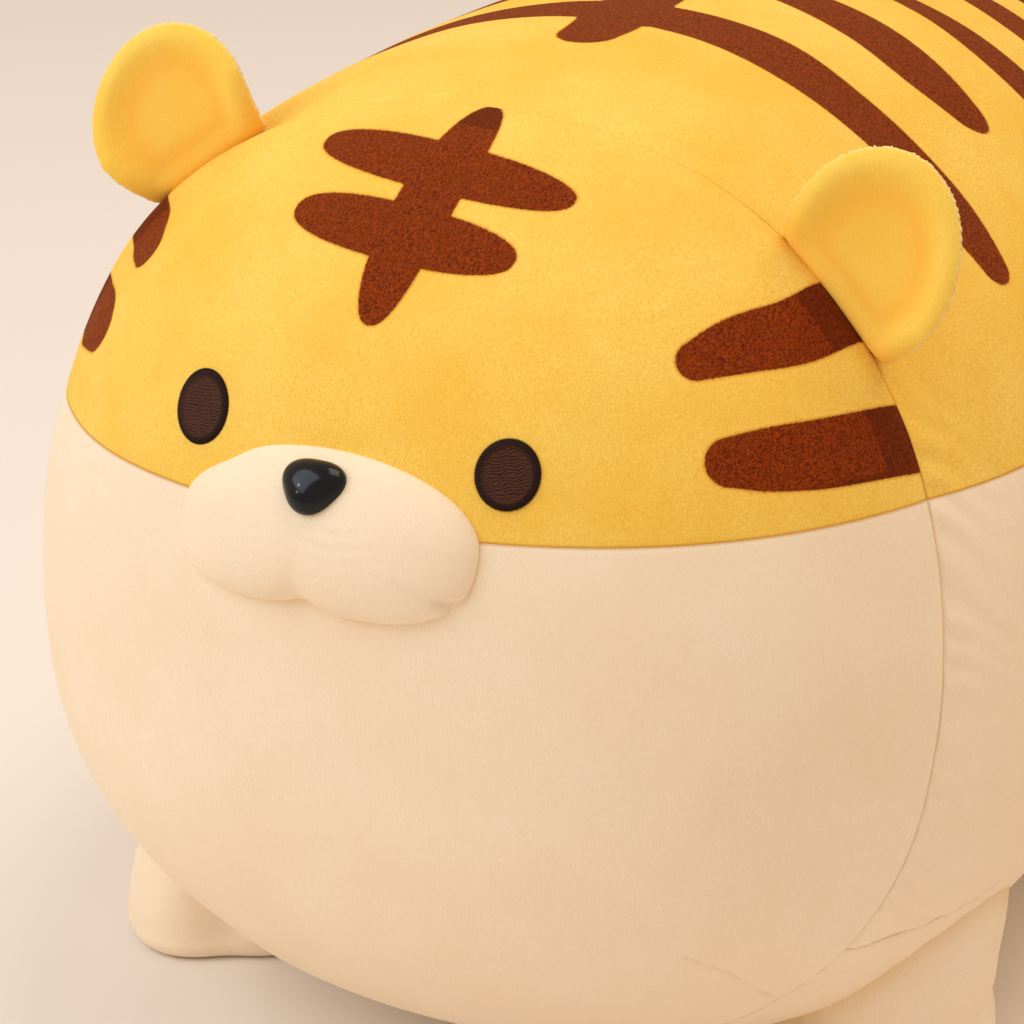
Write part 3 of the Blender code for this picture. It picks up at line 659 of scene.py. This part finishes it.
turn = full_turn(240)
tilt = half_turn(110)
out = np.sin(tilt) * muzzle_edge(turn)
muzzle_points = muzzle_skin(out * np.cos(turn), out * np.sin(turn))
spot, way = face_spot(MUZZLE_ACROSS + out * np.cos(turn), MUZZLE_HEIGHT + out * np.sin(turn))
under = (tilt > math.pi / 2) * np.ones_like(turn) > 0
underside = spot + way * (0.003 * np.cos(tilt) - 0.0004)[..., None]
muzzle_points = np.where(under[..., None], underside, muzzle_points)
# Its seam value is its height over the rim, so the seam tint paints the seam line and a shadow round its
# foot.
rim_seam_and_shadow_mm = np.where(under, 0, MUZZLE_PROUD * np.cos(tilt) * 1000)
muzzle = sewn_piece("muzzle", muzzle_points, seam_mm=rim_seam_and_shadow_mm)
muzzle.data.materials.append(cream_plush)
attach(muzzle, "body")
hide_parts("muzzle_cover", "muzzle_stuffing")


# The nose: a moulded black plastic button, a rounded triangle with its tip down, on a shank through the
# muzzle's cloth that a white push-on washer holds from behind.
NOSE_ACROSS = 0.0004
NOSE_LEVEL = 0.0136
NOSE_HALF_WIDTH = 0.0098
NOSE_TIP_DROP = 0.0095
NOSE_PROUD = 0.0056
# It sits square on the cloth, whose slope is taken between points 5 mm to each side.
near_nose = muzzle_skin(NOSE_ACROSS + np.array((0, 0.005, -0.005, 0, 0)),
                        NOSE_LEVEL + np.array((0, 0, 0, 0.005, -0.005)))
nose_across = unit(near_nose[1] - near_nose[2])
nose_out = unit(np.cross(nose_across, near_nose[3] - near_nose[4]))
nose_up = np.cross(nose_out, nose_across)
tilt = half_turn(60)
turn = full_turn(90)
spread = np.sin(tilt) * (1 + 0.085 * np.cos(3 * (turn + math.pi / 2))) / 1.085
rise = np.cos(tilt) * np.ones_like(turn)
nose_points = near_nose[0] + (
    nose_across * (spread * np.cos(turn) * NOSE_HALF_WIDTH / math.cos(math.pi / 6))[..., None]
    + nose_up * (spread * np.sin(turn) * NOSE_TIP_DROP)[..., None]
    + nose_out * (rise * np.where(rise > 0, NOSE_PROUD, 0.0030))[..., None])
nose = sewn_piece("nose_button", nose_points)
# Acrylic, moulded and polished in the tool: near black, a mirror gloss, with a faint moulding ripple.
gloss, tree, shader = new_material("moulded_black_acrylic")
place = add_node(tree, "TexCoord")
flow = add_node(tree, "TexNoise", {"Vector": place.outputs["Object"], "Scale": 260, "Detail": 1})
tone = add_node(tree, "MixRGB", {
    "Fac": flow.outputs["Fac"], "Color1": linear("#06080A"), "Color2": linear("#0D1013")})
ripple = add_node(tree, "Bump", {"Height": flow.outputs["Fac"], "Strength": 0.05, "Distance": 0.0004})
fill_sockets(tree, shader, {
    "Base Color": tone.outputs["Color"], "Normal": ripple.outputs["Normal"], "Roughness": 0.15,
    "IOR": 1.49, "Specular IOR Level": 0.3})
nose.data.materials.append(gloss)
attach(nose, "body")
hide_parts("nose")

# The washer is moulded polyethylene, milky and slightly waxy.
washer, tree, shader = new_material("moulded_white_polyethylene")
place = add_node(tree, "TexCoord")
flow = add_node(tree, "TexNoise", {"Vector": place.outputs["Object"], "Scale": 300, "Detail": 2})
tone = add_node(tree, "MixRGB", {
    "Fac": flow.outputs["Fac"], "Color1": linear("#E2E2DD"), "Color2": linear("#F0F0EC")})
fill_sockets(tree, shader, {"Base Color": tone.outputs["Color"], "Roughness": 0.4})
frame["nodes"]["nose_washer"].data.materials.clear()
frame["nodes"]["nose_washer"].data.materials.append(washer)


# The eyes: machine embroidery in dark brown rayon, a patch of level stitches inside a raised satin
# border whose threads run outwards. The two are a few millimetres off from each other.
BORDER_WIDTH = 0.0031
BORDER_STITCHES = 92
STITCH_ROW = 0.0009
# Each eye's middle, its half width and half height along the cloth, and how far it leans.
EYES = {
    "left": (0.0555, CENTRE[2] + 0.1036, 0.0098, 0.0105, -0.11),
    "right": (-0.0530, CENTRE[2] + 0.1078, 0.0110, 0.0115, 0),
}


def thread(name, dark, light, attribute):
    """Twisted rayon thread, 0.3 mm thick: painted highlight on each stitch's crest, painted shade in its
    gaps.
    """
    material, tree, shader = new_material(name)
    ridge = add_node(tree, "Attribute", attribute_name=attribute)
    place = add_node(tree, "TexCoord")
    fibres = add_node(tree, "TexNoise", {"Vector": place.outputs["Object"], "Scale": 1500, "Detail": 2})
    lit = add_node(tree, "Math", {0: ridge.outputs["Fac"], 1: fibres.outputs["Fac"]}, operation="MULTIPLY")
    lit = add_node(tree, "MapRange", {"Value": lit.outputs[0], "From Min": 0.04, "From Max": 0.42})
    tone = add_node(tree, "MixRGB", {
        "Fac": lit.outputs[0], "Color1": linear(dark), "Color2": linear(light)})
    fill_sockets(tree, shader, {
        "Base Color": tone.outputs["Color"], "Roughness": 0.6, "Specular IOR Level": 0.12})
    return material


satin_thread = thread("rayon_embroidery_satin", "#180B07", "#47271B", "ridge")
patch_thread = thread("rayon_embroidery_fill", "#120805", "#54301F", "ridge")
for word, (middle_across, middle_height, half_width, half_height, shear) in EYES.items():
    _, lean = face_spot(np.array(middle_across), np.array(middle_height))
    share_across, share_up = math.hypot(lean[1], lean[2]), math.hypot(lean[0], lean[1])
    turn = full_turn(12 * BORDER_STITCHES)
    roll = half_turn(13)
    stitch = np.cos(BORDER_STITCHES * turn + 0.8 * np.sin(3 * turn)) * 0.5 + 0.5
    outer = (np.cos(roll) - 1) * BORDER_WIDTH / 2 + 0.00038 * stitch * np.clip(np.cos(roll), 0, 1)
    x, y = (half_width + outer) * np.cos(turn), (half_height + outer) * np.sin(turn)
    spot, way = face_spot(middle_across + (x + shear * y) * share_across, middle_height + y * share_up)
    rise = np.sin(roll) * (0.0011 + 0.00010 * stitch)
    # Painted highlight on the border's stitch crests and along the roll of its inner edge.
    border = sewn_piece(f"eye_{word}_satin_border", spot + way * rise[..., None],
                        ridge=0.4 * stitch + 0.6 * np.exp(-((roll - 2.2) / 0.35) ** 2))
    out = np.linspace(0, 1, 60)[:, None]
    turn = full_turn(260)
    x = (half_width - BORDER_WIDTH * 0.75) * out * np.cos(turn)
    y = (half_height - BORDER_WIDTH * 0.75) * out * np.sin(turn)
    # Rows of level stitches 0.9 mm apart wander a little, and each stitch is about 3 mm long.
    wander = 0.30 * np.sin(x / 0.0013 + np.floor(y / 0.0027) * 2.1)
    wander = wander + 0.22 * np.sin(x / 0.0005 + y / STITCH_ROW)
    stitch = np.abs(np.sin(math.pi * (y / STITCH_ROW + wander)))
    spot, way = face_spot(middle_across + (x + shear * y) * share_across, middle_height + y * share_up)
    points = spot + way * (0.00055 + 0.00022 * stitch)[..., None]
    patch = sewn_piece(f"eye_{word}_stitched_patch", points, ridge=stitch)
    for piece, node, finish in ((border, "border", satin_thread), (patch, "patch", patch_thread)):
        piece.data.materials.append(finish)
        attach(piece, "body")
        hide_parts(f"eye_{word}_{node}")


# The ears: two rounds of yellow plush sewn together and turned, with a thin layer of filling, cupped
# forwards, and sewn into the face seam. The two were sewn in by hand a few degrees apart.
EAR_DROP = 0.0330
EAR_CENTRE_UP = 0.0170
EAR_ROUNDNESS = 1.95
EAR_LEAN = math.radians(26)
EAR_BEND = 0.012
EAR_CUP = 0.0050
# Each ear's half width, its rise over its middle, how far it leans along its base there and at its top,
# and the shares by which the base is drawn in, or let out if below 0, at the end that its hinge's axis
# points to and at the other end.
EARS = {
    "left": (0.0292, 0.0330, -0.0030, 0.0045, -0.12, 0.09),
    "right": (0.0330, 0.0297, -0.0004, -0.0024, 0.12, 0.11),
}


def ear_edge(half_width, ear_rise, turn):
    """The ear's outline about its middle: a full round above, drawn in towards a straight base."""
    wide = np.abs(np.cos(turn)) / half_width
    high = np.abs(np.sin(turn)) / np.where(np.sin(turn) > 0, ear_rise, EAR_DROP)
    edge = (wide ** EAR_ROUNDNESS + high ** EAR_ROUNDNESS) ** (-1 / EAR_ROUNDNESS)
    base = EAR_CENTRE_UP / np.maximum(-np.sin(turn), 1e-6)
    return np.where(np.sin(turn) < 0, (edge ** -20 + base ** -20) ** (-1 / 20), edge)


def ear_place(axis_point, out, sideways, back, along, above, behind):
    """Seats a flat ear's points on the body, bent so that it leaves the body square and then leans back."""
    radius = EAR_BEND / EAR_LEAN
    turned = np.clip(above, 0, EAR_BEND) / radius
    straight = np.maximum(above - EAR_BEND, 0)
    height = np.minimum(above, 0) + radius * np.sin(turned) + straight * np.cos(turned)
    set_back = radius * (1 - np.cos(turned)) + straight * np.sin(turned)
    sheet_back = back * np.cos(turned)[..., None] - out * np.sin(turned)[..., None]
    return (axis_point + sideways * along[..., None] + out * height[..., None]
            + back * set_back[..., None] + sheet_back * behind[..., None])


def ear_sheet(seat, sizes, layer, share, turn, depth=1.0):
    """Points of an ear's cloth, layer -1 in front and 1 behind, with its seam values and its painted shade.
    """
    half_width, ear_rise, base_lean, top_lean, ahead_in, behind_in = sizes
    # Loose fibres of the backing stick out of the turned edge by up to half a millimetre.
    fibres = np.random.default_rng(17).uniform(-1, 1, turn.shape) * 0.016 * (share > 0.995)
    edge = ear_edge(half_width, ear_rise, turn) * (1 + fibres)
    along = share * edge * np.cos(turn)
    above = EAR_CENTRE_UP + share * edge * np.sin(turn)
    near_base = np.maximum(0, 1 - above / EAR_CENTRE_UP) ** 1.5
    higher = np.maximum(0, above - EAR_CENTRE_UP) / ear_rise
    cup = -(EAR_CUP * (along / half_width) ** 2 + 0.0026 * higher ** 2) * (1 - near_base)
    rim = np.exp(-((share - 0.86) / 0.17) ** 2)
    if layer < 0:
        swell = (0.0014 + 0.0022 * rim) * np.sqrt(1 - share ** 10)
    else:
        swell = (0.0036 - 0.0004 * rim) * np.sqrt(1 - share ** 6)
    behind = cup + layer * swell * depth + 0.0016 * near_base
    lean = base_lean + (top_lean - base_lean) * np.clip(above / (EAR_CENTRE_UP + ear_rise), 0, 1)
    along = along * (1 - near_base * np.where(along < 0, behind_in, ahead_in))
    sunk = above - near_base ** 2 * 0.006
    seam = np.minimum((1 - share) * edge, np.maximum(above - 0.001, 0)) * 1000 + 0.35
    # Painted shade in the front cloth's cup, stronger at the root where the ear is sewn in.
    inside = np.clip((0.86 - share) / 0.30, 0, 1)
    hollow = (layer < 0) * inside * (0.25 + 0.30 * np.exp(-((share - 0.58) / 0.16) ** 2))
    hollow = np.maximum(hollow, 0.6 * near_base)
    return ear_place(*seat, along + lean, sunk, behind), seam, hollow


turn = full_turn(320)
share = np.sin(np.linspace(0, math.pi / 2, 56))[:, None]
for word, sizes in EARS.items():
    joint = next(j for j in frame["joints"] if j["name"] == f"ear_{word}_fold")
    axis_point, sideways = np.array(joint["pos_m"]), unit(np.array(joint["axis"]))
    ear_out = outward(axis_point)
    ear_out = unit(ear_out - sideways * (ear_out @ sideways))
    seat = (axis_point, ear_out, sideways, np.cross(sideways, ear_out))
    inner = share * 0.9
    halves = [ear_sheet(seat, sizes, layer, inner, turn, 0.7)[0] for layer in (-1, 1)]
    pad = sewn_piece(f"ear_{word}_filling", np.concatenate((halves[0], halves[1][::-1])))
    pad.data.materials.append(fibrefill)
    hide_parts(f"ear_{word}_padding")
    pieces = [pad]
    for layer, label in ((-1, "front"), (1, "back")):
        points, seam, hollow = ear_sheet(seat, sizes, layer, share, turn)
        piece = sewn_piece(f"ear_{word}_{label}_cloth", points, seam_mm=seam, hollow=hollow)
        piece.data.materials.append(plain_plush)
        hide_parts(f"ear_{word}_{label}")
        pieces.append(piece)
    for piece in pieces:
        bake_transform(piece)


# The legs: four short stubs of cream plush, stuffed, sewn all round under the body, flat where they stand
# and fuller at the sole. Each leans in towards the body's middle from the sole up.
LEG_ACROSS = 0.129
FRONT_LEGS_AT = -0.066
REAR_LEGS_AT = 0.172
LEG_LEAN = math.tan(math.radians(14))
LEG_RADIUS = 0.0420
LEG_CREASE_UP = 0.036
LEG_CREASE_DEPTH = 0.0022
SOLE_UP = 0.0006
SOLE_RADIUS = 0.0350
SOLE_CORNER = 0.0075
SEWN_IN_MM = 3.6


def leg_radius(height):
    """The leg's radius at a height: fullest just over the sole, with a soft crease half way up."""
    taper = np.clip((height - 0.014) / 0.026, 0, 1)
    taper = taper * taper * (3 - 2 * taper)
    crease = LEG_CREASE_DEPTH * np.exp(-((height - LEG_CREASE_UP) / 0.005) ** 2)
    return LEG_RADIUS - 0.0022 * taper - crease - 0.03 * np.maximum(height - 0.055, 0)


def leg_wall(across, at, lean, turn, height, radius):
    """Points at a height and radius of a leg that leans by lean, and is flatter towards the chin or rump."""
    flat_side = turned_from(turn, math.atan2(-lean, -across), math.radians(32))
    radius = radius * (1 - 0.22 * flat_side * np.clip((0.055 - height) / 0.03, 0, 1))
    # Where it is sewn on, the cloth spreads towards the flank.
    spread_side = turned_from(turn, math.atan2(-0.9 * lean, across), math.radians(45))
    radius = radius + 0.006 * spread_side * np.clip((height - 0.030) / 0.03, 0, 1)
    return np.stack(np.broadcast_arrays(
        across + radius * np.cos(turn),
        at + radius * np.sin(turn) + lean * height,
        height), axis=-1)


turn = full_turn(130)
for end, at, lean in (("front", FRONT_LEGS_AT, LEG_LEAN), ("rear", REAR_LEGS_AT, -LEG_LEAN)):
    for word, across in (("left", LEG_ACROSS), ("right", -LEG_ACROSS)):
        leg_at = (across, at, lean, turn)
        # The height, by halving, at which each side of the leg's wall meets the body.
        low, high = np.full_like(turn, 0.004), np.full_like(turn, 0.115)
        for _ in range(30):
            middle = (low + high) / 2
            inside = body_measure(leg_wall(*leg_at, middle, leg_radius(middle)), 0.004) < 1
            low, high = np.where(inside, low, middle), np.where(inside, middle, high)
        top = low
        sole = np.linspace(0, 1, 16)[:, None] * SOLE_RADIUS
        bend = np.linspace(0, math.pi / 2, 9)[1:, None]
        rise = SOLE_CORNER + (top - SOLE_CORNER) * np.linspace(0, 1, 60)[1:, None]
        puff = 0.0006 * waves(leg_wall(*leg_at, rise, leg_radius(rise)), 0.03, 31)
        to_top = (top - rise) / 0.010
        # The cloth is gathered where it is sewn on, in tucks about 9 mm apart.
        tucks = 0.0007 * np.sin(28 * turn + 2 * np.sin(5 * turn)) * np.exp(-np.maximum(to_top, 0) ** 2)
        corner = SOLE_RADIUS + (leg_radius(SOLE_CORNER) - SOLE_RADIUS) * np.sin(bend)
        cap = np.linspace(1, 0, 16)[1:, None]
        roof = leg_wall(*leg_at, top, leg_radius(top) * cap)
        roof_starts = roof * (1, 1, 0) + (0, 0, CENTRE[2])
        roof = skin_along(roof_starts, np.array((0.0, 0.0, -1.0)), 0.004)
        bent_up = SOLE_UP + (SOLE_CORNER - SOLE_UP) * (1 - np.cos(bend))
        points = np.concatenate((
            leg_wall(*leg_at, SOLE_UP, sole),
            leg_wall(*leg_at, bent_up, corner),
            leg_wall(*leg_at, rise, leg_radius(rise) + puff + tucks),
            roof))
        # How far the seam with the body is, in mm: far from the sole, and inside the body at the roof.
        sole_rows = len(sole) + len(bend)
        from_top = np.concatenate((np.full((sole_rows, 130), 30.0), (top - rise) * 1000 - SEWN_IN_MM,
                                   np.zeros(roof.shape[:2])))
        # Painted shade in the deep crease under the body: the seam tint near the seam, and this deeper tint.
        crease_shade = np.exp(-(np.maximum(from_top, 0) / 9) ** 2) * 0.5
        leg = sewn_piece(f"leg_{end}_{word}", points, seam_mm=np.maximum(from_top, 0.1), hollow=crease_shade)
        leg.data.materials.append(cream_plush)
        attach(leg, "body")
        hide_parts(f"leg_{end}_{word}_cover", f"leg_{end}_{word}_stuffing")


# The tail: a short stub of striped yellow plush, stuffed and blunt, sewn to the rump by its root. It
# points a little up.
TAIL_RADIUS = 0.0165
TAIL_LENGTH = 0.078
TAIL_DROP = 0.026
TAIL_TILT = math.radians(16)
TAIL_RINGS_MM = (18, 43)
TAIL_TIP_MM = 64
joint = next(j for j in frame["joints"] if j["name"] == "tail_lift")
tail_root = np.array(joint["pos_m"])
seat = skin_along(CENTRE + (0, 0, COLOUR_LINE - TAIL_DROP), np.array((0.0, 1.0, 0.0)))
lift = Matrix.Rotation(TAIL_TILT, 3, "X")
tail_way = np.array(lift @ Vector(outward(seat)))
tail_side = np.array((1.0, 0.0, 0.0))
tail_up = np.cross(tail_side, tail_way)
tilt = half_turn(140)
turn = full_turn(90)
power = np.where(np.cos(tilt) > 0, 3.4, 2.0)
wide = TAIL_RADIUS * np.sin(tilt) ** (2 / power)
reach = np.where(np.cos(tilt) > 0, TAIL_LENGTH, -TAIL_RADIUS) * np.abs(np.cos(tilt)) ** (2 / power)
wide = wide * (1 + 0.02 * np.sin(reach * 260))
tail_points = (tail_root + tail_side * (wide * np.cos(turn))[..., None]
               + tail_up * (wide * np.sin(turn))[..., None]
               + tail_way * (reach * np.ones_like(turn))[..., None])
# A brown tip and two brown rings, which narrow underneath as the body's stripes do.
ring_width = 5.5 + 1.5 * np.sin(turn)
rings = [np.abs(reach * 1000 - middle) - ring_width for middle in TAIL_RINGS_MM]
tail_stripes = np.minimum(np.minimum(*rings), TAIL_TIP_MM - reach * 1000 + 0 * turn)
tail = sewn_piece("tail_stub", tail_points, stripe_mm=tail_stripes,
                  seam_mm=np.abs(reach * 1000 + 13) + 0.2)
tail.data.materials.append(striped_plush)
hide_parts("tail_cover", "tail_stuffing")
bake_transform(tail)


# The photographer's table: a smooth pale floor, one broad soft lamp up to the left, an even sky, and two
# small weak lamps that only show as glints in the nose.
floor_mesh = bpy.data.meshes.new("floor")
floor_mesh.from_pydata([(-8, -8, 0), (8, -8, 0), (8, 8, 0), (-8, 8, 0)], [], [(0, 1, 2, 3)])
floor = bpy.data.objects.new("floor", floor_mesh)
bpy.context.scene.collection.objects.link(floor)
paint, tree, shader = new_material("matt_painted_board")
fill_sockets(tree, shader, {"Base Color": linear("#EEE4D9"), "Roughness": 0.9})
floor.data.materials.append(paint)

world = bpy.data.worlds.new("even_sky")
bpy.context.scene.world = world
world.use_nodes = True
fill_sockets(world.node_tree, world.node_tree.nodes["Background"],
             {"Color": linear("#FFEAD9"), "Strength": 0.66})


def softbox(name, place, aim, size, watts, colour):
    """A square studio lamp at a place, turned to its aim."""
    lamp = bpy.data.lights.new(name, "AREA")
    lamp.shape = "SQUARE"
    lamp.size = size
    lamp.energy = watts
    lamp.color = linear(colour)[:3]
    holder = bpy.data.objects.new(name, lamp)
    holder.location = place
    holder.rotation_euler = (Vector(aim) - Vector(place)).to_track_quat("-Z", "Y").to_euler()
    bpy.context.scene.collection.objects.link(holder)


softbox("key_lamp", (-1.5, -1.5, 2.2), (0, 0, 0.15), 2.2, 40, "#DCEFFF")
softbox("top_lamp", (0.6, 0.5, 2.4), (0, 0.1, 0.1), 1.4, 19, "#FFFAF0")
softbox("glint_lamp_high", (-1.10, -1.05, 1.05), (0, -0.19, 0.24), 0.05, 1.0, "#FFFFFF")
softbox("glint_lamp_low", (-1.12, -1.25, 0.72), (0, -0.19, 0.24), 0.05, 0.5, "#FFFFFF")

# The camera stands 30 degrees round towards the tiger's left side and looks down by 23 degrees.
camera_data = bpy.data.cameras.new("camera")
camera_data.lens = 101.84
camera_data.sensor_width = 36
camera_data.clip_start = 0.05
camera = bpy.data.objects.new("camera", camera_data)
camera.matrix_world = Matrix((
    (0.872556, -0.159168, 0.461857, 0.448374),
    (0.486700, 0.364653, -0.793821, -0.836302),
    (-0.042067, 0.917439, 0.395647, 0.574831),
    (0, 0, 0, 1),
))
bpy.context.scene.collection.objects.link(camera)
bpy.context.scene.camera = camera

bpy.context.scene.view_settings.view_transform = "Standard"
